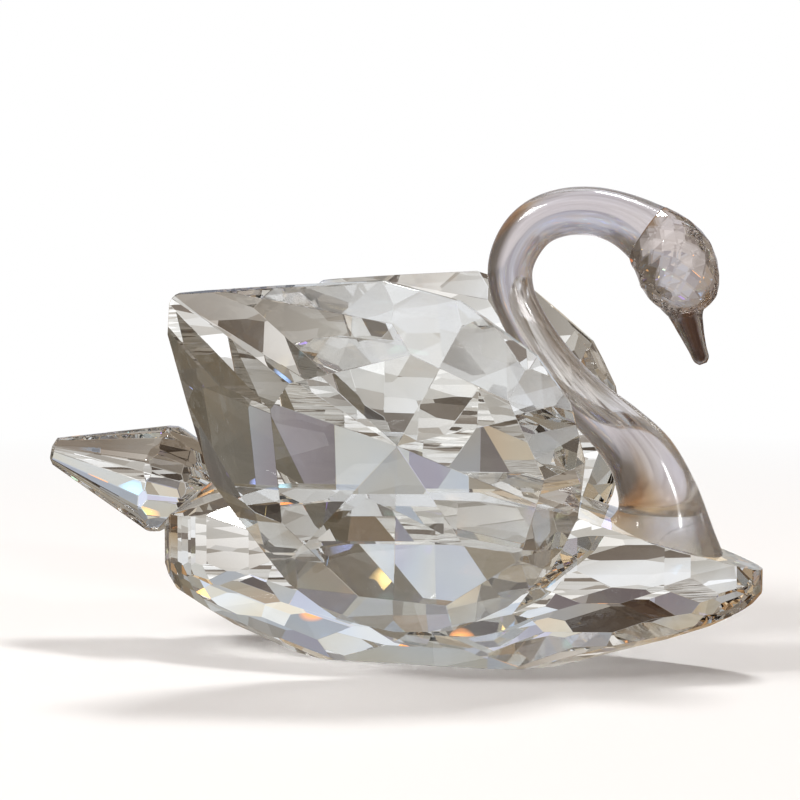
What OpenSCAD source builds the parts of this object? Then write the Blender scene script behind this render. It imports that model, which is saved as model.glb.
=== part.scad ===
// Cut-crystal swan: separately cut stones and a flame-worked neck, bonded together.
// Millimetres, +Z up, the swan swims toward +X. The origin lies on the resting plane,
// under the middle of the overall box.

/* [Body] */
// Distance from the origin to the breast edge
body_front = 80; // [77:1:83]
// Distance from the origin to the rear end of the body
body_rear = 52; // [49:1:55]
// Half width of the body at its girdle
body_half_width = 20; // [19:0.5:21]
// Height of the cut top of the body
body_top = 40; // [37:1:43]
// Lower edge of the girdle band
body_girdle_low = 15; // [13:1:17]
// Upper edge of the girdle band
body_girdle_high = 24.5; // [23.5:0.5:25.5]

/* [Wings] */
// Lean of each wing away from upright, in degrees
wing_lean = 12; // [11:0.5:13]
// Turn of each wing toward the breast, in degrees
wing_turn = 13; // [12:0.5:14]
// Half thickness of the wing at its girdle
wing_girdle = 1.2; // [0.8:0.1:2]
// Height of the table above the girdle plane
wing_crown = 8.5; // [7:0.5:10]
// Depth of the point below the girdle plane
wing_pavilion = 12; // [11:0.5:13]
// Distance of each wing's centre from the middle plane
wing_spread = 31; // [30.5:0.25:31.5]

/* [Tail] */
// Upward tilt of the tail toward its tip, in degrees
tail_tilt = 11.5; // [9:0.5:14]
// Length from the tip to the girdle
tail_length = 27; // [25:1:29]
// Radius at the girdle
tail_radius = 12; // [11:0.5:13]
// Radius of the small flat at the tip
tail_tip_radius = 3; // [2:0.5:4]

/* [Neck] */
// Thickness of the glass rod, as a share of the usual one
neck_thickness = 1; // [0.9:0.02:1.1]
// Radius of the flared foot
neck_foot_radius = 12.3; // [11.5:0.1:13]

/* [Joints] */
// Thickness of each clear adhesive film
film = 0.15; // [0.1:0.01:0.2]

/* [Hidden] */
STOCK = 400;
SIDES = 40;
STEPS = 4;
HALF_FILM = film / 2;

function normal(azimuth, tilt) = [sin(tilt) * cos(azimuth), sin(tilt) * sin(azimuth), cos(tilt)];

// A cut is [azimuth, tilt, distance from the origin] of its plane; the stock beyond it is taken off.
function cut_through(azimuth, tilt, point) = [azimuth, tilt, normal(azimuth, tilt) * point];

// The same plane cut from either side, leaving room for half the film.
function near_side(cut) = [cut[0], cut[1], cut[2] - HALF_FILM];

function far_side(cut) = [cut[0] + 180, 180 - cut[1], -cut[2] - HALF_FILM];

NECK_SEAT = [60, 0, 28];
NECK_SEAT_TILT = 17;
NECK_CUT = cut_through(0, NECK_SEAT_TILT, NECK_SEAT);
TAIL_SEAT = [-46, 0, 31.5];
TAIL_SEAT_TILT = 40;
TAIL_CUT = cut_through(180, TAIL_SEAT_TILT, TAIL_SEAT);

// An outline is the hull of a few circles, each [x, y, radius].
AXIS = [[0, 0, 0]];
BODY_OUTLINE = [[15 - body_rear, 0, 14.5], [-20, 0, 0.9 * body_half_width], [0, 0, body_half_width],
    [20, 0, 0.965 * body_half_width], [38, 0, 0.84 * body_half_width], [54, 0, 13], [66, 0, 9],
    [body_front - 5, 0, 5]];
CROWN_OUTLINE = [[6 - body_rear, 0, 16.5], [-20, 0, 0.95 * body_half_width], [0, 0, 1.04 * body_half_width],
    [20, 0, 1.02 * body_half_width], [38, 0, 18.8], [54, 0, 16.8], [66, 0, 12.6], [body_front, 0, 5]];
BODY_TABLE = [[-12, 0, 12], [28, 0, 10]];
BODY_REST = [[-9, 0, 11], [27, 0, 10]];
WING_OUTLINE = [[6, -3, 34.8], [-20, 6, 17], [-39, 31.3, 2.8], [-4, 27, 8.5], [10, 26, 8]];
WING_TABLE = [[7, -3.5, 24.5], [-12, 10, 9]];
WING_POINT = [[3, 1, 0]];
TAIL_OUTLINE = [[0, 0, tail_radius]];
TAIL_TIP_OUTLINE = [[0, 0, tail_tip_radius]];

function reach(azimuth, outline) =
    max([for (c = outline) c[0] * cos(azimuth) + c[1] * sin(azimuth) + c[2]]);

// A facet through two levels: out to r1 at height z1 and out to r2 at height z2.
function facet(azimuth, r1, z1, r2, z2) =
    let (side = z2 > z1 ? 1 : -1, rise = side * (z2 - z1), run = side * (r1 - r2))
    [azimuth, atan2(rise, run), (r1 * rise + z1 * run) / norm([rise, run])];

// One turn of the index wheel. Each facet leans from the outer outline at z1 toward the inner one,
// and has gone the given part of the way there at z2. A long stone is turned unevenly, so that its
// sides get more of the facets than its ends.
function ring(count, start, outer, z1, inner, z2, part = 1, long = 1) =
    [for (i = [0:count - 1])
        let (turn = start + 360 * i / count, a = atan2(long * sin(turn), cos(turn)), r = reach(a, outer))
        facet(a, r, z1, r + part * (reach(a, inner) - r), z2)];

module half_space(cut)
    rotate([0, cut[1], cut[0]])
        translate([-STOCK / 2, -STOCK / 2, cut[2] - STOCK])
            cube(STOCK);

module cut_stone(cuts)
    intersection_for (cut = cuts)
        half_space(cut);

// A wing lies on its back while it is cut: x toward the breast, y up the wing, z out through the table.
// Its first back facet is the one that is bonded to the body.
WING_BACK = ring(9, -36, WING_OUTLINE, -wing_girdle * 0.5, WING_POINT, -wing_pavilion);
WING_CUTS = concat(
    [[0, 0, wing_crown]],
    ring(18, 14, WING_OUTLINE, -wing_girdle, WING_OUTLINE, wing_girdle),
    ring(18, 14, WING_OUTLINE, wing_girdle, WING_TABLE, wing_crown * 0.52, 0.3),
    ring(9, 24, WING_OUTLINE, wing_girdle * 0.5, WING_TABLE, wing_crown),
    ring(18, 14, WING_OUTLINE, -wing_girdle, WING_POINT, -wing_pavilion * 0.43, 0.28),
    ring(9, 24, WING_OUTLINE, -wing_girdle * 0.8, WING_POINT, -wing_pavilion * 0.76, 0.62),
    WING_BACK);
WING_SEAT = [6.6, -wing_spread, 46.5];

// A direction or a cut of the wing after the wing has been stood up against the body.
function stood(v) =
    let (a = 90 + wing_lean, up = [v[0], v[1] * cos(a) - v[2] * sin(a), v[1] * sin(a) + v[2] * cos(a)])
    [up[0] * cos(wing_turn) - up[1] * sin(wing_turn), up[0] * sin(wing_turn) + up[1] * cos(wing_turn), up[2]];

function stood_cut(cut) =
    let (n = stood(normal(cut[0], cut[1])))
    [atan2(n[1], n[0]), acos(n[2]), cut[2] + n * WING_SEAT];

// The middle of each wing's film; the body has a flat on its own side of it.
SIDE_CUT = far_side(stood_cut(WING_BACK[0]));
OTHER_SIDE_CUT = [-SIDE_CUT[0], SIDE_CUT[1], SIDE_CUT[2]];

// The body: top and resting flats, seats for the other stones, then girdle, crown and keel facets.
BODY_LONG = 2.4;
BODY_CUTS = concat(
    [[0, 0, body_top], [0, 180, 0]],
    [near_side(SIDE_CUT), near_side(OTHER_SIDE_CUT), near_side(NECK_CUT), near_side(TAIL_CUT)],
    ring(24, 0, BODY_OUTLINE, body_girdle_low + 1, BODY_OUTLINE, body_girdle_high, 1, BODY_LONG),
    ring(24, 7.5, CROWN_OUTLINE, body_girdle_high - 1, BODY_TABLE, body_girdle_high + 6.5, 0.3, BODY_LONG),
    ring(12, 0, CROWN_OUTLINE, body_girdle_high, BODY_TABLE, body_top - 4, 0.62, BODY_LONG),
    ring(12, 15, CROWN_OUTLINE, body_girdle_high + 1.5, BODY_TABLE, body_top, 1, BODY_LONG),
    ring(24, 7.5, BODY_OUTLINE, body_girdle_low + 2.2, BODY_REST, body_girdle_low - 6, 0.16, BODY_LONG),
    ring(12, 0, BODY_OUTLINE, body_girdle_low + 0.8, BODY_REST, 4.6, 0.44, BODY_LONG),
    ring(12, 15, BODY_OUTLINE, body_girdle_low - 0.6, BODY_REST, 1.6, 0.72, BODY_LONG),
    ring(12, 0, BODY_OUTLINE, body_girdle_low - 2.5, BODY_REST, 0, 1, BODY_LONG));

// The tail stands on its girdle while it is cut, with its long point upward.
TAIL_CUTS = concat(
    [[0, 0, tail_length], [0, 180, 30]],
    ring(14, 0, TAIL_OUTLINE, -1, TAIL_OUTLINE, 1),
    ring(14, 0, TAIL_OUTLINE, 1, TAIL_TIP_OUTLINE, tail_length * 0.37, 0.34),
    ring(7, 90 / 7, TAIL_OUTLINE, 0, TAIL_TIP_OUTLINE, tail_length),
    ring(14, 0, TAIL_OUTLINE, -1, AXIS, -6, 0.14),
    ring(14, 90 / 7, TAIL_OUTLINE, -0.6, AXIS, -12, 0.36),
    ring(7, 0, TAIL_OUTLINE, -1, AXIS, -26, 0.8));
TAIL_TIP = [-79.5, 0, 42];
TAIL_GIRDLE = TAIL_TIP + tail_length * [cos(tail_tilt), 0, -sin(tail_tilt)];

// Stations up the neck and over the head to the bill, each [x, z, radius, width over height].
STATIONS = [[60, 28, neck_foot_radius, 1], [59.5, 32.4, 9.8, 1], [57.9, 37.8, 8.3, 1], [54.6, 44.4, 7.2, 1],
    [49.8, 49.8, 6.2, 1], [43.9, 55, 5.4, 1], [38.7, 60.2, 4.9, 1], [33.8, 66, 4.7, 1],
    [29.6, 72.2, 4.6, 1], [26.8, 78.2, 4.6, 1], [26.1, 84.2, 4.8, 1], [28.2, 89.8, 5, 1],
    [32, 93.8, 5, 1], [37.6, 95.9, 5, 1], [43.7, 96.1, 5.1, 1], [49.2, 94.8, 5.4, 1],
    [54.2, 92.3, 6.2, 0.98], [58.4, 89, 7.4, 0.94], [61.8, 84, 8, 0.9], [63.1, 78.8, 6.9, 0.88],
    [63.6, 75, 3.8, 0.85], [64.7, 71.4, 2.7, 0.85], [66, 67.8, 1.95, 0.85], [66.9, 65.5, 1.65, 0.85],
    [67.3, 64.5, 0.8, 0.85]];
HEAD_START = 16.25;
BILL_START = 20;
LAST = len(STATIONS) - 1;

function station(i) = STATIONS[min(max(i, 0), LAST)];

// Smooth curve through the stations.
function along(t) =
    let (i = min(floor(t), LAST - 1), u = t - i)
    let (a = station(i - 1), b = station(i), c = station(i + 1), d = station(i + 2))
    (2 * b + (c - a) * u + (2 * a - 5 * b + 4 * c - d) * u * u + (3 * b - 3 * c + d - a) * u * u * u) / 2;

function heading(t) =
    let (a = along(max(t - 0.01, 0)), b = along(min(t + 0.01, LAST)))
    atan2(b[1] - a[1], b[0] - a[0]);

// The foot ring lies in the seat plane; the next rings turn until they stand square to the curve.
function ring_heading(t) = t > 3 ? heading(t) : (1 - t / 3) * (90 - NECK_SEAT_TILT) + t / 3 * heading(t);

// A ring of corners around the curve at one place, swollen, turned and unevenly pressed as asked.
function section(t, sides = SIDES, swell = 1, turn = 0, uneven = 0) =
    let (s = along(t), h = ring_heading(t), size = s[2] * swell * (t < 1 ? 1 : neck_thickness))
    [for (k = [0:sides - 1])
        let (a = 360 * k / sides + turn, r = size * (1 + uneven * sin(137 * k + 190 * t)))
        [s[0] - r * cos(a) * sin(h), r * s[3] * sin(a), s[1] + r * cos(a) * cos(h)]];

// Glass drawn along the curve from one station to another, closed by flat ends.
module drawn_glass(first, last) {
    rings = (last - first) * STEPS;
    translate(normal(0, NECK_SEAT_TILT) * HALF_FILM)
        polyhedron(
            [for (i = [0:rings]) each section(first + i / STEPS)],
            concat(
                [[for (k = [0:SIDES - 1]) k]],
                [for (i = [0:rings - 1]) for (k = [0:SIDES - 1]) let (j = (k + 1) % SIDES)
                    [i * SIDES + k, (i + 1) * SIDES + k, (i + 1) * SIDES + j, i * SIDES + j]],
                [[for (k = [SIDES - 1:-1:0]) rings * SIDES + k]]));
}

// Rows of pressed corners over the head. The rows lie half a step apart, so that every facet between
// them is a flat triangle; the presses are not quite even, and the two end rows meet the rod and bill.
HEAD_SIDES = 14;
HEAD_LAST = 10;
HEAD_SWELL = 1.06;
END_SWELL = 1.02;
UNEVEN_PRESS = 0.025;

function head_row(i) =
    let (end = i == 0 || i == HEAD_LAST, swell = end ? END_SWELL : HEAD_SWELL, uneven = end ? 0 : UNEVEN_PRESS)
    section(HEAD_START + (BILL_START - HEAD_START) * i / HEAD_LAST, HEAD_SIDES, swell,
        i % 2 * 180 / HEAD_SIDES, uneven);

module pressed_head()
    translate(normal(0, NECK_SEAT_TILT) * HALF_FILM)
        polyhedron(
            [for (i = [0:HEAD_LAST]) each head_row(i)],
            concat(
                [[for (k = [0:HEAD_SIDES - 1]) k]],
                [for (i = [0:HEAD_LAST - 1]) for (k = [0:HEAD_SIDES - 1])
                    let (j = (k + 1) % HEAD_SIDES, low = i * HEAD_SIDES, high = low + HEAD_SIDES)
                    let (tip = high + (i % 2 == 1 ? j : k), foot = low + (i % 2 == 1 ? k : j))
                    each [[low + k, tip, low + j], [high + k, high + j, foot]]],
                [[for (k = [HEAD_SIDES - 1:-1:0]) HEAD_LAST * HEAD_SIDES + k]]));

module body()
    color([0.86, 0.85, 0.83])
        cut_stone(BODY_CUTS);

module wing()
    translate(WING_SEAT)
        rotate([90 + wing_lean, 0, wing_turn])
            cut_stone(WING_CUTS);

module right_wing()
    color([0.9, 0.89, 0.88])
        wing();

module left_wing()
    color([0.9, 0.89, 0.88])
        mirror([0, 1, 0])
            wing();

module tail()
    color([0.88, 0.87, 0.84])
        intersection() {
            translate(TAIL_GIRDLE)
                rotate([0, tail_tilt - 90, 0])
                    cut_stone(TAIL_CUTS);
            half_space(far_side(TAIL_CUT));
        }

module neck()
    color([0.84, 0.83, 0.82])
        drawn_glass(0, HEAD_START);

module head()
    color([0.84, 0.83, 0.82])
        pressed_head();

module bill()
    color([0.25, 0.2, 0.17])
        drawn_glass(BILL_START, LAST);

// An oval of clear adhesive lying in the plane of a cut, centred on a point of that plane.
module oval_film(cut, point, length, width)
    color([0.95, 0.95, 0.9])
        translate(point)
            rotate([0, cut[1], cut[0]])
                translate([0, 0, -HALF_FILM])
                    linear_extrude(film)
                        polygon([for (k = [0:SIDES - 1])
                            [width / 2 * cos(360 * k / SIDES), length / 2 * sin(360 * k / SIDES)]]);

// The point of a cut plane that lies at the given x and z.
function on_plane(cut, x, z) =
    let (n = normal(cut[0], cut[1]))
    [x, (cut[2] - n[0] * x - n[2] * z) / n[1], z];

module right_wing_bond()
    oval_film(SIDE_CUT, on_plane(SIDE_CUT, 29.2, 23.3), 9, 9.5);

module left_wing_bond()
    mirror([0, 1, 0])
        right_wing_bond();

module tail_bond()
    oval_film(TAIL_CUT, TAIL_SEAT - 2 * [1, 0, tan(TAIL_SEAT_TILT)], 11, 8.5);

module neck_bond()
    oval_film(NECK_CUT, NECK_SEAT, 2 * neck_foot_radius, 2 * neck_foot_radius);

body();
right_wing();
left_wing();
tail();
neck();
head();
bill();
right_wing_bond();
left_wing_bond();
tail_bond();
neck_bond();
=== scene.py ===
import math

import bmesh
import bpy
from mathutils import Matrix, Vector


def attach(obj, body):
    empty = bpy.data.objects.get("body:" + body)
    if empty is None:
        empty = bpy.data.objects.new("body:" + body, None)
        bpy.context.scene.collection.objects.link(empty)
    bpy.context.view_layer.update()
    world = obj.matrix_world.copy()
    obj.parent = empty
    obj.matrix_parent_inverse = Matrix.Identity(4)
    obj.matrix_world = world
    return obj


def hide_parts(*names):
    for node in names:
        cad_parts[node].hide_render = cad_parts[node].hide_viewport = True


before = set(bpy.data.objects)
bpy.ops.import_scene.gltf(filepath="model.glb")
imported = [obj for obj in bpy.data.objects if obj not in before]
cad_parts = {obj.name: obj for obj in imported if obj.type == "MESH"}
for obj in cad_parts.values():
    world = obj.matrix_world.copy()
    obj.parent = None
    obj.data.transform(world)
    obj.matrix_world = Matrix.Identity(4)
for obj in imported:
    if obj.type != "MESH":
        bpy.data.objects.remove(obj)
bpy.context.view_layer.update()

# Lengths are in millimetres, which MM turns into metres. Only the floor and the lamps are in metres.
MM = 0.001
STOCK = 400.0
HALF_FILM = 0.075
# Glued flats overlap by this much, so that light crosses a joint as it does through clear adhesive.
WETTING = 0.015
POLISHED_EDGE = 0.14
PRESSED_EDGE = 0.2


# ---------------------------------------------------------------- colours and materials


def linear(code, strength=1.0):
    """A colour written as sRGB hex, made linear."""
    parts = [int(code[i : i + 2], 16) / 255 for i in (1, 3, 5)]
    parts = [c / 12.92 if c <= 0.04045 else ((c + 0.055) / 1.055) ** 2.4 for c in parts]
    return [c * strength for c in parts] + [1.0]


def add_node(tree, kind, settings=None, links=None):
    """Adds one node, sets its properties and sockets, and links other nodes' outputs into it."""
    node = tree.nodes.new(kind)
    for name, value in (settings or {}).items():
        if isinstance(name, str) and hasattr(node, name):
            setattr(node, name, value)
        else:
            node.inputs[name].default_value = value
    for name, output in (links or {}).items():
        tree.links.new(output, node.inputs[name])
    return node


def new_material(name):
    """An empty node material."""
    material = bpy.data.materials.new(name)
    material.use_nodes = True
    material.node_tree.nodes.clear()
    return material


def ramp(tree, source, stops):
    """A colour ramp over a value, with its stops as (place, linear colour)."""
    node = add_node(tree, "ShaderNodeValToRGB", {}, {"Fac": source})
    while len(node.color_ramp.elements) < len(stops):
        node.color_ramp.elements.new(0.5)
    for element, (place, colour) in zip(node.color_ramp.elements, stops):
        element.position = place
        element.color = colour
    return node.outputs["Color"]


def mixed_colours(tree, kind, share, first, second):
    """Mixes two colours. The share and the colours are values, or outputs to link."""
    node = add_node(tree, "ShaderNodeMix", {"data_type": "RGBA", "blend_type": kind})
    for socket, value in ((0, share), (6, first), (7, second)):
        if isinstance(value, bpy.types.NodeSocket):
            tree.links.new(value, node.inputs[socket])
        else:
            node.inputs[socket].default_value = value
    return node.outputs[2]


# The tint of a melt drifts over about this distance.
CLOUD_SIZE = 18.0


def glass_material(name, tints, ior, roughness, wave_mm, wave_height, rim=None):
    """Clear glass: a slightly uneven tint, a polish that waves by microns, and its plain index.
    A cased glass also has a rim colour, which shows where its clear outer layer is seen edge on."""
    material = new_material(name)
    tree = material.node_tree
    place = add_node(tree, "ShaderNodeTexCoord")
    cloud = add_node(
        tree,
        "ShaderNodeTexNoise",
        {"Scale": 1 / (CLOUD_SIZE * MM), "Detail": 2.0},
        {"Vector": place.outputs["Object"]},
    )
    tint = ramp(tree, cloud.outputs["Fac"], [(0.35, linear(tints[0])), (0.65, linear(tints[1]))])
    if rim:
        edge = add_node(tree, "ShaderNodeLayerWeight", {"Blend": 0.35})
        shell = ramp(tree, edge.outputs["Facing"], [(0.06, linear("#000000")), (0.2, linear("#ffffff"))])
        tint = mixed_colours(tree, "MIX", shell, tint, linear(rim))
    polish = add_node(
        tree,
        "ShaderNodeTexNoise",
        {"Scale": 1 / (wave_mm * MM), "Detail": 1.0, "Roughness": 0.4},
        {"Vector": place.outputs["Object"]},
    )
    bump = add_node(
        tree,
        "ShaderNodeBump",
        {"Strength": 1.0, "Distance": wave_height * MM},
        {"Height": polish.outputs["Fac"]},
    )
    shader = add_node(
        tree,
        "ShaderNodeBsdfPrincipled",
        {"IOR": ior, "Roughness": roughness, "Transmission Weight": 1.0},
        {"Base Color": tint, "Normal": bump.outputs["Normal"]},
    )
    add_node(tree, "ShaderNodeOutputMaterial", {}, {"Surface": shader.outputs[0]})
    return material


# Cut and polished lead crystal: bright and sharp, a trace of grey and cream in its depth.
cut_crystal = glass_material("cut_lead_crystal", ["#f3f2ef", "#f1f2f3"], 1.545, 0.0, 9.0, 0.004)
# Flame-worked crystal: fire polished, so it is smoother and its surface flows.
drawn_crystal = glass_material("flame_worked_crystal", ["#f4f1ee", "#f1eef4"], 1.53, 0.12, 6.0, 0.006)
# Pressed crystal: the same glass nipped into small facets while soft, which stay sharp and glitter.
pressed_crystal = glass_material("pressed_crystal", ["#f2ebe4", "#f1ecec"], 1.53, 0.035, 5.0, 0.003)
# Cased bill glass: a smoky brown core drawn out inside a clear layer, so that it has a clear rim.
bill_glass = glass_material("cased_smoky_glass", ["#644838", "#4c382d"], 1.53, 0.03, 3.0, 0.004, "#eeebe8")
# Clear adhesive cured under lamps. It lies inside glass of almost its own index and only that small
# difference can bend light, so its index is given against the glass and the joint doesn't show.
clear_adhesive = glass_material("lamp_cured_adhesive", ["#faf9f5", "#fbfaf8"], 1.01, 0.0, 5.0, 0.001)


# ---------------------------------------------------------------- cut stones


def normal(azimuth, tilt):
    """The direction that a cut faces: its compass angle and its tilt from straight up."""
    a, t = math.radians(azimuth), math.radians(tilt)
    return Vector((math.sin(t) * math.cos(a), math.sin(t) * math.sin(a), math.cos(t)))


def cut_through(azimuth, tilt, point):
    """A cut is (azimuth, tilt, distance from the origin); this one passes through a point."""
    return (azimuth, tilt, normal(azimuth, tilt).dot(Vector(point)))


def facing(cut, gap):
    """The cut that faces this one across a gap."""
    return (cut[0] + 180, 180 - cut[1], -cut[2] - gap)


def proud(cut):
    """A seat left standing by half a film and the wetting, to meet the glass that is bonded on it."""
    return (cut[0], cut[1], cut[2] + HALF_FILM + WETTING)


def reach(azimuth, outline):
    """How far an outline goes in one direction. An outline is the hull of circles (x, y, radius)."""
    a = math.radians(azimuth)
    return max(x * math.cos(a) + y * math.sin(a) + r for x, y, r in outline)


def facet(azimuth, r1, z1, r2, z2):
    """The plane that is out at r1 at height z1 and out at r2 at height z2."""
    side = 1 if z2 > z1 else -1
    rise, run = side * (z2 - z1), side * (r1 - r2)
    length = math.hypot(rise, run)
    return (azimuth, math.degrees(math.atan2(rise, run)), (r1 * rise + z1 * run) / length)


def ring(count, start, outer, z1, inner, z2, part=1.0, long=1.0):
    """One turn of the index wheel, leaning from the outer outline at z1 toward the inner one.
    A long stone is turned unevenly, so that its sides get more of the facets than its ends."""
    cuts = []
    for i in range(count):
        a = math.radians(start + 360 * i / count)
        a = math.degrees(math.atan2(long * math.sin(a), math.cos(a)))
        r = reach(a, outer)
        cuts.append(facet(a, r, z1, r + part * (reach(a, inner) - r), z2))
    return cuts


def moved(cuts, matrix):
    """The same cuts after the stone has been turned and moved."""
    rotation = matrix.to_3x3()
    out = []
    for azimuth, tilt, distance in cuts:
        n = rotation @ normal(azimuth, tilt)
        d = distance + n.dot(matrix.translation)
        tilt = math.acos(max(-1, min(1, n.z)))
        out.append((math.degrees(math.atan2(n.y, n.x)), math.degrees(tilt), d))
    return out


def cut_stone(name, cuts, material):
    """Takes the stock off beyond each cut and breaks the sharp edges as polishing does."""
    bm = bmesh.new()
    bmesh.ops.create_cube(bm, size=STOCK)
    for azimuth, tilt, distance in cuts:
        n = normal(azimuth, tilt)
        everything = bm.verts[:] + bm.edges[:] + bm.faces[:]
        bmesh.ops.bisect_plane(
            bm, geom=everything, dist=1e-4, plane_co=n * distance, plane_no=n, clear_outer=True
        )
        open_edges = [e for e in bm.edges if e.is_boundary]
        if open_edges:
            bmesh.ops.holes_fill(bm, edges=open_edges, sides=0)
    bmesh.ops.remove_doubles(bm, verts=bm.verts[:], dist=0.02)
    bmesh.ops.recalc_face_normals(bm, faces=bm.faces[:])
    bmesh.ops.scale(bm, vec=(MM, MM, MM), verts=bm.verts[:])
    mesh = bpy.data.meshes.new(name)
    bm.to_mesh(mesh)
    bm.free()
    mesh.materials.append(material)
    stone = bpy.data.objects.new(name, mesh)
    bpy.context.scene.collection.objects.link(stone)
    soften_edges(stone, POLISHED_EDGE, angle=4)
    return stone


def soften_edges(piece, width, angle):
    """Takes the bite off every edge sharper than the angle."""
    edge = piece.modifiers.new("polished_edges", "BEVEL")
    edge.width = width * MM
    edge.segments = 1
    edge.limit_method = "ANGLE"
    edge.angle_limit = math.radians(angle)


def mirrored(cuts):
    """The same cuts on the other side of the middle plane."""
    return [(-azimuth, tilt, distance) for azimuth, tilt, distance in cuts]


NECK_SEAT = Vector((60, 0, 28))
NECK_SEAT_TILT = 17
NECK_CUT = cut_through(0, NECK_SEAT_TILT, NECK_SEAT)
TAIL_CUT = cut_through(180, 40, (-46, 0, 31.5))

BODY_OUTLINE = [
    (-37, 0, 14.5), (-20, 0, 18), (0, 0, 20), (20, 0, 19.3),
    (38, 0, 16.8), (54, 0, 13), (66, 0, 9), (75, 0, 5),
]
CROWN_OUTLINE = [
    (-46, 0, 16.5), (-20, 0, 19), (0, 0, 20.8), (20, 0, 20.4),
    (38, 0, 18.8), (54, 0, 16.8), (66, 0, 12.6), (80, 0, 5),
]
BODY_TABLE = [(-12, 0, 12), (28, 0, 10)]
BODY_REST = [(-9, 0, 11), (27, 0, 10)]
WING_OUTLINE = [(6, -3, 34.8), (-20, 6, 17), (-39, 31.3, 2.8), (-4, 27, 8.5), (10, 26, 8)]
WING_TABLE = [(7, -3.5, 24.5), (-12, 10, 9)]
WING_POINT = [(3, 1, 0)]
TAIL_OUTLINE = [(0, 0, 12)]
TAIL_TIP = [(0, 0, 3)]
AXIS = [(0, 0, 0)]

# A wing lies on its back while it is cut: x toward the breast, y up the wing, z out through the table.
# Its first back facet is the one that is bonded to the body.
WING_BACK = ring(9, -36, WING_OUTLINE, -0.6, WING_POINT, -12)
wing_flat = (
    [(0, 0, 8.5)]
    + ring(18, 14, WING_OUTLINE, -1.2, WING_OUTLINE, 1.2)
    + ring(18, 14, WING_OUTLINE, 1.2, WING_TABLE, 4.4, 0.3)
    + ring(9, 24, WING_OUTLINE, 0.6, WING_TABLE, 8.5)
    + ring(18, 14, WING_OUTLINE, -1.2, WING_POINT, -5.2, 0.28)
    + ring(9, 24, WING_OUTLINE, -1.0, WING_POINT, -9.1, 0.62)
    + WING_BACK
)
WING_TURN = 13
WING_LEAN = 12
WING_PLACE = (
    Matrix.Translation((6.6, -31, 46.5))
    @ Matrix.Rotation(math.radians(WING_TURN), 4, "Z")
    @ Matrix.Rotation(math.radians(90 + WING_LEAN), 4, "X")
)
right_wing_cuts = moved(wing_flat, WING_PLACE)
SIDE_CUT = facing(moved(WING_BACK[:1], WING_PLACE)[0], -WETTING)

# The body's rings are spaced for a stone this much longer than it is wide.
BODY_LONG = 2.4
# Top and resting flats, seats for the other stones, then girdle, crown and keel.
body_cuts = (
    [(0, 0, 40), (0, 180, 0)]
    + [SIDE_CUT, mirrored([SIDE_CUT])[0]]
    + [proud(NECK_CUT), proud(TAIL_CUT)]
    + ring(24, 0, BODY_OUTLINE, 16, BODY_OUTLINE, 24.5, 1.0, BODY_LONG)
    + ring(24, 7.5, CROWN_OUTLINE, 23.5, BODY_TABLE, 31, 0.3, BODY_LONG)
    + ring(12, 0, CROWN_OUTLINE, 24.5, BODY_TABLE, 36, 0.62, BODY_LONG)
    + ring(12, 15, CROWN_OUTLINE, 26, BODY_TABLE, 40, 1.0, BODY_LONG)
    + ring(24, 7.5, BODY_OUTLINE, 17.2, BODY_REST, 9, 0.16, BODY_LONG)
    + ring(12, 0, BODY_OUTLINE, 15.8, BODY_REST, 4.6, 0.44, BODY_LONG)
    + ring(12, 15, BODY_OUTLINE, 14.4, BODY_REST, 1.6, 0.72, BODY_LONG)
    + ring(12, 0, BODY_OUTLINE, 12.5, BODY_REST, 0, 1.0, BODY_LONG)
)

# The tail is cut standing up: its girdle lies at z = 0 and its point is at the top.
TAIL_LENGTH = 27
TAIL_TILT = 11.5
TAIL_POINT = Vector((-79.5, 0, 42))
tail_flat = (
    [(0, 0, TAIL_LENGTH), (0, 180, 30)]
    + ring(14, 0, TAIL_OUTLINE, -1, TAIL_OUTLINE, 1)
    + ring(14, 0, TAIL_OUTLINE, 1, TAIL_TIP, 10, 0.34)
    + ring(7, 90 / 7, TAIL_OUTLINE, 0, TAIL_TIP, TAIL_LENGTH)
    + ring(14, 0, TAIL_OUTLINE, -1, AXIS, -6, 0.14)
    + ring(14, 90 / 7, TAIL_OUTLINE, -0.6, AXIS, -12, 0.36)
    + ring(7, 0, TAIL_OUTLINE, -1, AXIS, -26, 0.8)
)
tail_girdle = TAIL_POINT + TAIL_LENGTH * normal(0, 90 + TAIL_TILT)
TAIL_PLACE = Matrix.Translation(tail_girdle) @ Matrix.Rotation(math.radians(TAIL_TILT - 90), 4, "Y")
tail_cuts = moved(tail_flat, TAIL_PLACE) + [facing(TAIL_CUT, HALF_FILM)]

body = cut_stone("body_stone", body_cuts, cut_crystal)
right_wing = cut_stone("right_wing_stone", right_wing_cuts, cut_crystal)
left_wing = cut_stone("left_wing_stone", mirrored(right_wing_cuts), cut_crystal)
tail = cut_stone("tail_stone", tail_cuts, cut_crystal)

# ---------------------------------------------------------------- drawn glass

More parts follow.
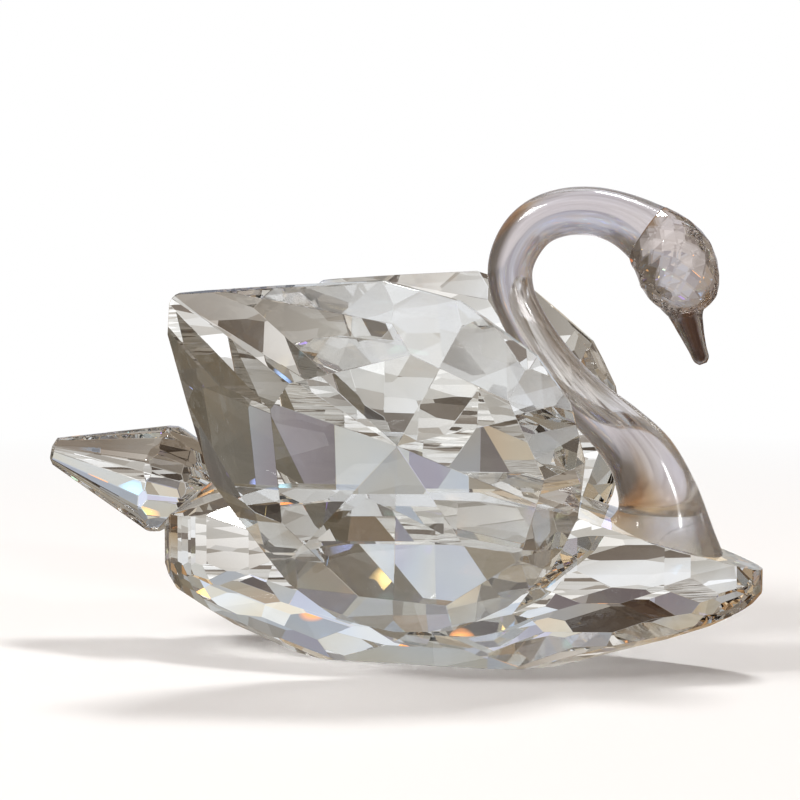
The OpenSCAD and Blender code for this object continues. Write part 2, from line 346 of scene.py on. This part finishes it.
# Up the neck and over the head to the bill, each (x, z, radius, width over height).
STATIONS = [
    (60, 28, 12.3, 1), (59.5, 32.4, 9.8, 1), (57.9, 37.8, 8.3, 1), (54.6, 44.4, 7.2, 1),
    (49.8, 49.8, 6.2, 1), (43.9, 55, 5.4, 1), (38.7, 60.2, 4.9, 1), (33.8, 66, 4.7, 1),
    (29.6, 72.2, 4.6, 1), (26.8, 78.2, 4.6, 1), (26.1, 84.2, 4.8, 1), (28.2, 89.8, 5, 1),
    (32, 93.8, 5, 1), (37.6, 95.9, 5, 1), (43.7, 96.1, 5.1, 1), (49.2, 94.8, 5.4, 1),
    (54.2, 92.3, 6.2, 0.98), (58.4, 89, 7.4, 0.94), (61.8, 84, 8, 0.9), (63.1, 78.8, 6.9, 0.88),
    (63.6, 75, 3.8, 0.85), (64.7, 71.4, 2.7, 0.85), (66, 67.8, 1.95, 0.85), (66.9, 65.5, 1.65, 0.85),
    (67.3, 64.5, 0.8, 0.85),
]
HEAD_START = 16.25
BILL_START = 20
LAST = len(STATIONS) - 1
RINGS_PER_STATION = 8
LIFT = normal(0, NECK_SEAT_TILT) * HALF_FILM


def along(t):
    """Smooth curve through the stations."""
    i = min(int(t), LAST - 1)
    u = t - i
    a, b, c, d = (STATIONS[max(0, min(LAST, i + k))] for k in (-1, 0, 1, 2))
    return [
        (2 * q + (r - p) * u + (2 * p - 5 * q + 4 * r - s) * u * u + (3 * q - 3 * r + s - p) * u**3) / 2
        for p, q, r, s in zip(a, b, c, d)
    ]


def heading_of(a, b):
    """The direction from one place on the curve to another, in the middle plane."""
    return math.atan2(b[1] - a[1], b[0] - a[0])


def ring_heading(t):
    """The foot ring lies in the seat plane; the next rings turn until they stand square to the curve."""
    square = heading_of(along(max(0, t - 0.01)), along(min(LAST, t + 0.01)))
    seat = math.radians(90 - NECK_SEAT_TILT)
    return square if t > 3 else seat + (square - seat) * t / 3


def sweep_tree():
    """Sweeps a ring along a line of points. Each point carries its radius, width share and turn."""
    tree = bpy.data.node_groups.new("drawn_glass", "GeometryNodeTree")
    tree.interface.new_socket("Geometry", in_out="INPUT", socket_type="NodeSocketGeometry")
    tree.interface.new_socket("Sides", in_out="INPUT", socket_type="NodeSocketInt")
    tree.interface.new_socket("Material", in_out="INPUT", socket_type="NodeSocketMaterial")
    tree.interface.new_socket("Geometry", in_out="OUTPUT", socket_type="NodeSocketGeometry")
    given = add_node(tree, "NodeGroupInput")
    radius, share, turn, centre = (
        add_node(tree, "GeometryNodeInputNamedAttribute", {"data_type": kind, "Name": name})
        for name, kind in (
            ("glass_radius", "FLOAT"),
            ("width_share", "FLOAT"),
            ("ring_turn", "FLOAT"),
            ("centre", "FLOAT_VECTOR"),
        )
    )
    where = add_node(tree, "GeometryNodeInputPosition")
    line = add_node(tree, "GeometryNodeMeshToCurve", {}, {"Mesh": given.outputs["Geometry"]})
    marked = add_node(
        tree,
        "GeometryNodeStoreNamedAttribute",
        {"data_type": "FLOAT_VECTOR", "domain": "POINT", "Name": "centre"},
        {"Geometry": line.outputs[0], "Value": where.outputs[0]},
    )
    profile = add_node(
        tree, "GeometryNodeCurvePrimitiveCircle", {"Radius": 1.0}, {"Resolution": given.outputs["Sides"]}
    )
    tube = add_node(
        tree,
        "GeometryNodeCurveToMesh",
        {"Fill Caps": True},
        {"Curve": marked.outputs[0], "Profile Curve": profile.outputs[0], "Scale": radius.outputs[0]},
    )
    offset = add_node(
        tree, "ShaderNodeVectorMath", {"operation": "SUBTRACT"}, {0: where.outputs[0], 1: centre.outputs[0]}
    )
    turned = add_node(
        tree,
        "ShaderNodeVectorRotate",
        {"rotation_type": "Y_AXIS"},
        {"Vector": offset.outputs[0], "Angle": turn.outputs[0]},
    )
    narrow = add_node(tree, "ShaderNodeCombineXYZ", {"X": 1.0, "Z": 1.0}, {"Y": share.outputs[0]})
    scaled = add_node(
        tree,
        "ShaderNodeVectorMath",
        {"operation": "MULTIPLY"},
        {0: turned.outputs[0], 1: narrow.outputs[0]},
    )
    target = add_node(
        tree,
        "ShaderNodeVectorMath",
        {"operation": "ADD"},
        {0: centre.outputs[0], 1: scaled.outputs[0]},
    )
    shaped = add_node(
        tree, "GeometryNodeSetPosition", {}, {"Geometry": tube.outputs[0], "Position": target.outputs[0]}
    )
    smooth = add_node(tree, "GeometryNodeSetShadeSmooth", {}, {"Geometry": shaped.outputs[0]})
    real = add_node(tree, "GeometryNodeRealizeInstances", {}, {"Geometry": smooth.outputs[0]})
    painted = add_node(
        tree,
        "GeometryNodeSetMaterial",
        {},
        {"Geometry": real.outputs[0], "Material": given.outputs["Material"]},
    )
    add_node(tree, "NodeGroupOutput", {}, {"Geometry": painted.outputs[0]})
    return tree


SWEEP = sweep_tree()


def drawn_glass(name, first, last, sides, material, tuck):
    """A run of the neck curve. Its first ring is tucked into the piece before it, as in a fused joint."""
    count = int((last - first) * RINGS_PER_STATION)
    times = [first + i / RINGS_PER_STATION for i in range(count + 1)]
    points, headings, radii, shares = [], [], [], []
    for t in times:
        x, z, r, share = along(t)
        points.append(Vector((x, 0, z)) + LIFT)
        headings.append(ring_heading(t))
        radii.append(r)
        shares.append(share)
    points[0] -= Vector((math.cos(headings[0]), 0, math.sin(headings[0]))) * tuck
    mesh = bpy.data.meshes.new(name)
    mesh.from_pydata([p * MM for p in points], [(i, i + 1) for i in range(count)], [])
    turns = []
    for i in range(count + 1):
        before = (points[i] - points[max(0, i - 1)]).normalized()
        after = (points[min(count, i + 1)] - points[i]).normalized()
        path = before + after
        turns.append(math.atan2(path.z, path.x) - headings[i])
    for attribute, values in (
        ("glass_radius", [r * MM for r in radii]),
        ("width_share", shares),
        ("ring_turn", turns),
    ):
        mesh.attributes.new(attribute, "FLOAT", "POINT").data.foreach_set("value", values)
    line = bpy.data.objects.new(name + "_line", mesh)
    bpy.context.scene.collection.objects.link(line)
    sweep = line.modifiers.new("sweep", "NODES")
    sweep.node_group = SWEEP
    sockets = {item.name: item.identifier for item in SWEEP.interface.items_tree if item.in_out == "INPUT"}
    sweep[sockets["Sides"]] = sides
    sweep[sockets["Material"]] = material
    shape = bpy.data.meshes.new_from_object(line.evaluated_get(bpy.context.evaluated_depsgraph_get()))
    bpy.data.objects.remove(line)
    shape.name = name
    bm = bmesh.new()
    bm.from_mesh(shape)
    bmesh.ops.recalc_face_normals(bm, faces=bm.faces[:])
    for face in bm.faces:
        face.smooth = len(face.verts) == 4
    bm.to_mesh(shape)
    bm.free()
    piece = bpy.data.objects.new(name, shape)
    bpy.context.scene.collection.objects.link(piece)
    return piece


HEAD_SIDES = 14
HEAD_LAST = 10
HEAD_SWELL = 1.06
END_SWELL = 1.02
UNEVEN_PRESS = 0.025


def pressed_head(name, material):
    """The head: rows of corners half a step apart, so that every facet between them is a flat triangle.
    The presses are not quite even, and the two end rows meet the rod and the bill."""
    bm = bmesh.new()
    rows = []
    for i in range(HEAD_LAST + 1):
        t = HEAD_START + (BILL_START - HEAD_START) * i / HEAD_LAST
        swell, uneven = (END_SWELL, 0) if i in (0, HEAD_LAST) else (HEAD_SWELL, UNEVEN_PRESS)
        x, z, radius, share = along(t)
        h = ring_heading(t)
        ahead = Vector((math.cos(h), 0, math.sin(h)))
        centre = Vector((x, 0, z)) + LIFT - ahead * (WETTING if i == 0 else 0)
        row = []
        for k in range(HEAD_SIDES):
            a = math.radians(360 / HEAD_SIDES * (k + i % 2 / 2))
            r = radius * swell * (1 + uneven * math.sin(math.radians(137 * k + 190 * t)))
            out = Vector((-math.sin(h) * math.cos(a), share * math.sin(a), math.cos(h) * math.cos(a)))
            row.append(bm.verts.new((centre + out * r) * MM))
        rows.append(row)
    for i, (row, after) in enumerate(zip(rows, rows[1:])):
        for k in range(HEAD_SIDES):
            j = (k + 1) % HEAD_SIDES
            tip, foot = (after[k], row[j]) if i % 2 == 0 else (after[j], row[k])
            bm.faces.new((row[k], tip, row[j]))
            bm.faces.new((after[k], after[j], foot))
    bm.faces.new(rows[0])
    bm.faces.new(reversed(rows[-1]))
    bmesh.ops.recalc_face_normals(bm, faces=bm.faces[:])
    mesh = bpy.data.meshes.new(name)
    bm.to_mesh(mesh)
    bm.free()
    mesh.materials.append(material)
    piece = bpy.data.objects.new(name, mesh)
    bpy.context.scene.collection.objects.link(piece)
    soften_edges(piece, PRESSED_EDGE, angle=1)
    return piece


neck = drawn_glass("neck_rod", 0, HEAD_START, 72, drawn_crystal, 0)
head = pressed_head("head_piece", pressed_crystal)
bill = drawn_glass("bill_piece", BILL_START, LAST, 48, bill_glass, WETTING)

for piece, node, slot_name in (
    (body, "body", "cut_crystal"),
    (right_wing, "right_wing", "cut_crystal"),
    (left_wing, "left_wing", "cut_crystal"),
    (tail, "tail", "cut_crystal"),
    (neck, "neck", "drawn_crystal"),
    (head, "head", "drawn_crystal"),
    (bill, "bill", "bill_glass"),
):
    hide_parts(node)
    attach(piece, "root")
for node in ("right_wing_bond", "left_wing_bond", "tail_bond", "neck_bond"):
    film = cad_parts[node]
    film.data.materials.clear()
    film.data.materials.append(clear_adhesive)

# ---------------------------------------------------------------- studio

# The boards, and the floor's painted light that the glass sees, are made of patches; each takes one tone of
# its ramp by chance.
BOARD_TONES = [
    (0.0, "#483c38"), (0.06, "#7d716a"), (0.13, "#c2bcb6"), (0.35, "#dedddb"), (0.75, "#f5f6f8"),
    (0.95, ("#ffffff", 1.35)),
]
FLOOR_LIGHT_TONES = [
    (0.0, "#51473f"), (0.07, "#8f857c"), (0.14, "#cdc8c1"), (0.4, "#eae9e6"), (0.75, "#fcfcfc"),
    (0.93, ("#ffffff", 1.3)),
]
CARD_COLOURS = [(0.3, "#e2dcee"), (0.42, "#edf3fb"), (0.5, "#fbfaf5"), (0.58, "#faf0da"), (0.7, "#f8d9b8")]
LAMP_COLOURS = [
    (0.0, ("#ff8c3a", 2.2)), (0.3, ("#ffd890", 3.0)), (0.5, ("#c4f7dc", 2.4)), (0.7, ("#a2ceff", 2.6)),
    (1.0, ("#b690ff", 2.0)),
]
# Cells above this number are lamps.
LAMP_SHARE = 0.955
# What softly polished glass makes of the patches: one tone, with this much of them left.
SOFT_TONE = "#ccc6c8"
SOFT_CONTRAST = 0.28
# Colours around the table by compass angle: 0 is before the breast and 90 behind the left wing.
LOW_BOARDS = [
    (-180, "#c2bcb2"), (-135, "#cfcac3"), (-90, "#d2cec8"), (-45, "#bdb5ab"), (0, "#5a4f44"),
    (45, "#595248"), (74, "#7d776c"), (88, ("#eef3fb", 1.05)), (105, ("#eef3fb", 1.0)), (135, "#d6cfc6"),
    (180, "#c2bcb2"),
]
MIDDLE_BOARDS = [
    (-180, "#a59b90"), (-135, "#bdb8ae"), (-90, "#c2bdb4"), (-45, "#b4aaa0"), (0, "#6c6156"),
    (45, "#8a8278"), (75, "#979186"), (92, "#d6dde8"), (135, "#b0aba2"), (180, "#a59b90"),
]
HIGH_BOARDS = [
    (-180, "#bcbab8"), (-135, "#bebfbd"), (-90, "#c0bdb8"), (-45, "#b8b0a6"), (0, "#9c8f84"),
    (45, "#b6b0aa"), (90, "#ccd0d4"), (135, "#b8bab8"), (180, "#bcbab8"),
]
# Painted light and shade on the floor by compass angle, seen only through the glass: bright painted pools
# behind the left wing, painted shade before the breast.
FLOOR_LIGHT_AROUND = [
    (-180, "#c4beb4"), (-135, "#b9b2a9"), (-90, "#c6c0b8"), (-45, "#b4aaa0"), (0, "#6e6358"),
    (45, "#6c665c"), (72, "#8c867c"), (88, ("#ffffff", 1.1)), (108, ("#ffffff", 1.0)), (135, "#8f8880"),
    (180, "#c4beb4"),
]
# Right under the glass the floor's painted light runs from painted shade behind the tail, through bright
# painted white, to painted warm light before the breast.
FLOOR_LIGHT_UNDER = [
    (0.05, "#8f8070"), (0.3, "#d4d0ca"), (0.45, ("#f4f7fc", 1.12)), (0.68, ("#f8f8f6", 1.05)),
    (0.86, "#e6cba4"), (1.0, "#c99a68"),
]
# Half the length of the swan.
HALF_LENGTH = 80
# Where each row of boards is full: the sine of how high it stands over the table.
LOW_ROW, MIDDLE_ROW, HIGH_ROW = 0.087, 0.5, 0.906
# How finely each pattern breaks up the room, and how wide a patch of the floor's painted light is.
BOARD_SCALE = 7.5
CARD_SCALE = 11.0
LAMP_SCALE = 75.0
PATCH_WIDTH = 20
# Distances from the middle of the table: the camera's paper fades to white over the first pair. Over the
# second, the painted light under the glass gives way to the painted light around the table.
PAPER_FADE = (120, 500)
FLOOR_LIGHT_BLEND = (HALF_LENGTH, 300)
# In metres.
FLOOR_RADIUS = 4.0
FLOOR_DROP = 0.0002


def lights(stops):
    """Ramp stops with linear colours. A colour is a hex code, or a hex code with its strength."""
    return [(at, linear(light) if isinstance(light, str) else linear(*light)) for at, light in stops]


def ranged(tree, value, low, high, first=0.0, last=1.0):
    """A value carried from the range low to high over to the range first to last."""
    limits = {"From Min": low, "From Max": high, "To Min": first, "To Max": last}
    return add_node(tree, "ShaderNodeMapRange", limits, {"Value": value}).outputs[0]


def full_turn(tree, parts, colours):
    """Blends colours given by compass angle, by the direction of a vector."""
    angle = add_node(
        tree, "ShaderNodeMath", {"operation": "ARCTAN2"}, {0: parts.outputs["Y"], 1: parts.outputs["X"]}
    )
    turn = ranged(tree, angle.outputs[0], -math.pi, math.pi)
    return ramp(tree, turn, lights([((degrees + 180) / 360, colour) for degrees, colour in colours]))


def cells(tree, where, scale, randomness):
    """Patches of random size and place: their distance field and three random numbers for each."""
    pattern = add_node(
        tree,
        "ShaderNodeTexVoronoi",
        {"feature": "F1", "Scale": scale, "Randomness": randomness},
        {"Vector": where},
    )
    numbers = add_node(tree, "ShaderNodeSeparateColor", {}, {"Color": pattern.outputs["Color"]})
    return pattern.outputs["Distance"], numbers.outputs


def softened(tree, path, pattern):
    """A cut face picks out single patches; fire-polished glass is softer and sees them run together."""
    clear_view = ranged(tree, path.outputs["Is Singular Ray"], 0, 1, SOFT_CONTRAST)
    return mixed_colours(tree, "MIX", clear_view, linear(SOFT_TONE), pattern)


def light_room():
    """The boards, cards and lamps that the glass sees around it, and the white that the camera sees."""
    world = bpy.data.worlds.new("studio")
    bpy.context.scene.world = world
    world.use_nodes = True
    tree = world.node_tree
    tree.nodes.clear()
    path = add_node(tree, "ShaderNodeLightPath")
    direction = add_node(tree, "ShaderNodeTexCoord").outputs["Generated"]
    parts = add_node(tree, "ShaderNodeSeparateXYZ", {}, {0: direction})
    up_to_middle = ranged(tree, parts.outputs["Z"], LOW_ROW, MIDDLE_ROW)
    up_to_high = ranged(tree, parts.outputs["Z"], MIDDLE_ROW, HIGH_ROW)
    low, middle, high = (full_turn(tree, parts, row) for row in (LOW_BOARDS, MIDDLE_BOARDS, HIGH_BOARDS))
    room = mixed_colours(tree, "MIX", up_to_middle, low, middle)
    room = mixed_colours(tree, "MIX", up_to_high, room, high)

    # Gaps and flags between the boards: each is one tone, and cut glass picks them up facet by facet.
    _, board = cells(tree, direction, BOARD_SCALE, 0.95)
    # Coloured cards far off to the side: a soft change of hue from one facet to the next.
    cards = add_node(
        tree, "ShaderNodeTexNoise", {"Scale": CARD_SCALE, "Detail": 1.0}, {"Vector": direction}
    )
    card = ramp(tree, cards.outputs["Fac"], lights(CARD_COLOURS))
    pattern = mixed_colours(tree, "MULTIPLY", 1.0, ramp(tree, board[0], lights(BOARD_TONES)), card)
    room = mixed_colours(tree, "MULTIPLY", 1.0, room, softened(tree, path, pattern))

    # Small coloured lamps: the glass breaks them up into its fire.
    away, lamp = cells(tree, direction, LAMP_SCALE, 1.0)
    chosen = add_node(tree, "ShaderNodeMath", {"operation": "GREATER_THAN", 1: LAMP_SHARE}, {0: lamp[0]})
    glow = ranged(tree, away, 0.25, 0.6, 1.0, 0.0)
    lit = add_node(tree, "ShaderNodeMath", {"operation": "MULTIPLY"}, {0: chosen.outputs[0], 1: glow})
    lamps = ramp(tree, lamp[1], lights(LAMP_COLOURS))
    room = mixed_colours(tree, "MIX", lit.outputs[0], room, lamps)

    around = add_node(tree, "ShaderNodeBackground", {"Strength": 1.0}, {"Color": room})
    backdrop = add_node(tree, "ShaderNodeBackground", {"Color": linear("#ffffff"), "Strength": 1.0})
    seen = add_node(
        tree,
        "ShaderNodeMixShader",
        {},
        {0: path.outputs["Is Camera Ray"], 1: around.outputs[0], 2: backdrop.outputs[0]},
    )
    add_node(tree, "ShaderNodeOutputWorld", {}, {"Surface": seen.outputs[0]})


def studio_paper():
    """Pale paper that fades to white for the camera. Every other ray finds the floor glowing with painted
    light and shade in patches, for the glass to show.
    """
    material = new_material("studio_floor")
    tree = material.node_tree
    path = add_node(tree, "ShaderNodeLightPath")
    place = add_node(tree, "ShaderNodeTexCoord").outputs["Object"]
    distance = add_node(tree, "ShaderNodeVectorMath", {"operation": "LENGTH"}, {0: place}).outputs["Value"]
    parts = add_node(tree, "ShaderNodeSeparateXYZ", {}, {0: place})
    paper = add_node(tree, "ShaderNodeBsdfDiffuse", {"Color": linear("#f2f0ee")})
    glow = add_node(tree, "ShaderNodeEmission", {"Color": linear("#ffffff")})
    fade = ranged(tree, distance, PAPER_FADE[0] * MM, PAPER_FADE[1] * MM)
    seen = add_node(tree, "ShaderNodeMixShader", {}, {0: fade, 1: paper.outputs[0], 2: glow.outputs[0]})

    lengthwise = ranged(tree, parts.outputs["X"], -HALF_LENGTH * MM, HALF_LENGTH * MM)
    outward = ranged(tree, distance, FLOOR_LIGHT_BLEND[0] * MM, FLOOR_LIGHT_BLEND[1] * MM)
    under = ramp(tree, lengthwise, lights(FLOOR_LIGHT_UNDER))
    painted_floor_light = mixed_colours(tree, "MIX", outward, under, full_turn(tree, parts, FLOOR_LIGHT_AROUND))
    _, patch = cells(tree, place, 1 / (PATCH_WIDTH * MM), 0.95)
    patches = softened(tree, path, ramp(tree, patch[0], lights(FLOOR_LIGHT_TONES)))
    painted_floor_light = mixed_colours(tree, "MULTIPLY", 1.0, painted_floor_light, patches)
    # The floor glows with its painted light and shade for every ray but the camera's; no lamp lights it.
    painted_floor_glow = add_node(tree, "ShaderNodeEmission", {}, {"Color": painted_floor_light})
    either = add_node(
        tree,
        "ShaderNodeMixShader",
        {},
        {0: path.outputs["Is Camera Ray"], 1: painted_floor_glow.outputs[0], 2: seen.outputs[0]},
    )
    add_node(tree, "ShaderNodeOutputMaterial", {}, {"Surface": either.outputs[0]})
    return material


def round_floor(material):
    """A disc just under the swan, so that it stands on the paper and nothing sinks into it."""
    bm = bmesh.new()
    bmesh.ops.create_circle(bm, cap_ends=True, segments=96, radius=FLOOR_RADIUS)
    mesh = bpy.data.meshes.new("studio_floor")
    bm.to_mesh(mesh)
    bm.free()
    mesh.materials.append(material)
    floor = bpy.data.objects.new("studio_floor", mesh)
    floor.location.z = -FLOOR_DROP
    bpy.context.scene.collection.objects.link(floor)
    return floor


def aimed(name, data, location, target):
    """A lamp or a camera, put in its place and turned to a point."""
    thing = bpy.data.objects.new(name, data)
    thing.location = location
    thing.rotation_mode = "QUATERNION"
    thing.rotation_quaternion = (Vector(target) - Vector(location)).to_track_quat("-Z", "Y")
    bpy.context.scene.collection.objects.link(thing)
    return thing


def soft_box(name, location, size, power):
    """A lamp over the table. It lights the paper and glints on the glass, but isn't seen through it."""
    data = bpy.data.lights.new(name, "AREA")
    data.shape = "RECTANGLE"
    data.size, data.size_y = size
    data.energy = power
    light = aimed(name, data, location, (0, 0, 0.04))
    light.visible_camera = False
    light.visible_transmission = False


light_room()
floor = round_floor(studio_paper())
soft_box("key_box", (-0.7, -0.6, 0.9), (0.35, 0.35), 9.0)
soft_box("top_strip", (0.1, 0.3, 1.1), (0.3, 0.12), 6.0)
soft_box("right_box", (0.9, -0.5, 0.6), (0.1, 0.1), 1.6)

CAMERA_AZIMUTH = 16
CAMERA_ELEVATION = 4.8
CAMERA_DISTANCE = 470
CAMERA_TARGET = Vector((1.75, 0, 55.5)) * MM
camera_data = bpy.data.cameras.new("camera")
camera_data.lens = 97.7
camera_data.sensor_width = 36
stand = CAMERA_TARGET + normal(CAMERA_AZIMUTH - 90, 90 - CAMERA_ELEVATION) * CAMERA_DISTANCE * MM
bpy.context.scene.camera = aimed("camera", camera_data, stand, CAMERA_TARGET)

scene = bpy.context.scene
scene.view_settings.view_transform = "Standard"
scene.cycles.max_bounces = 20
scene.cycles.transmission_bounces = 20
scene.cycles.glossy_bounces = 12
scene.cycles.diffuse_bounces = 2
scene.cycles.use_denoising = True
